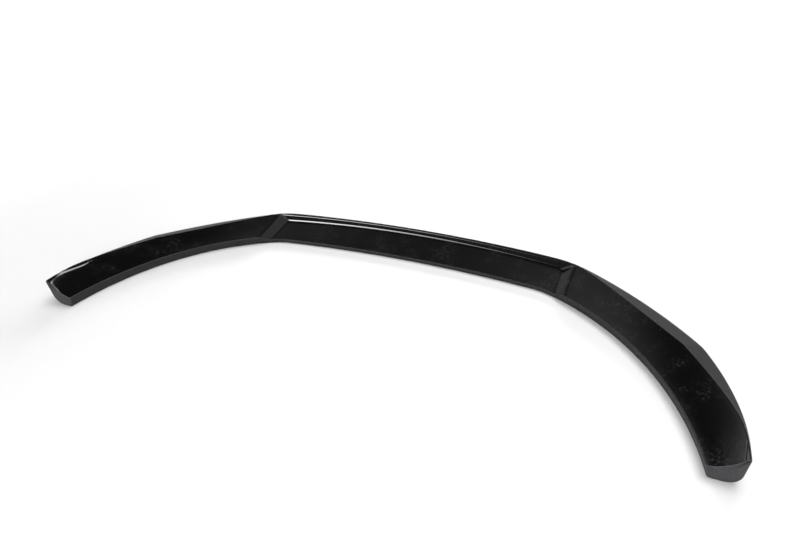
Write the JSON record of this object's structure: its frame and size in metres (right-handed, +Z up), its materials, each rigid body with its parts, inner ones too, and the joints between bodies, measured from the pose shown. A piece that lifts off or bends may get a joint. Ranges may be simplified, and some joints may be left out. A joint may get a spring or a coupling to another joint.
{
  "type": "front splitter lip",
  "caption": "Bowed front splitter lip for a car bumper, moulded in one piece, with a recessed middle, swept-back wings and upturned ends.",
  "frame": {"origin": "centre of the box around the lip, on the surface that its flat underside rests on", "axes": "+X across the car, +Y to the front of the car, +Z up; the lip is symmetric about X = 0"},
  "size_m": [1.5024, 0.5267, 0.07],
  "materials": {
    "black_plastic": "moulded black plastic, glossy on the seat side and finely grained on the outer band, walls and ends"
  },
  "bodies": {
    "root": {"front_lip": "black_plastic"}
  },
  "joints": []
}
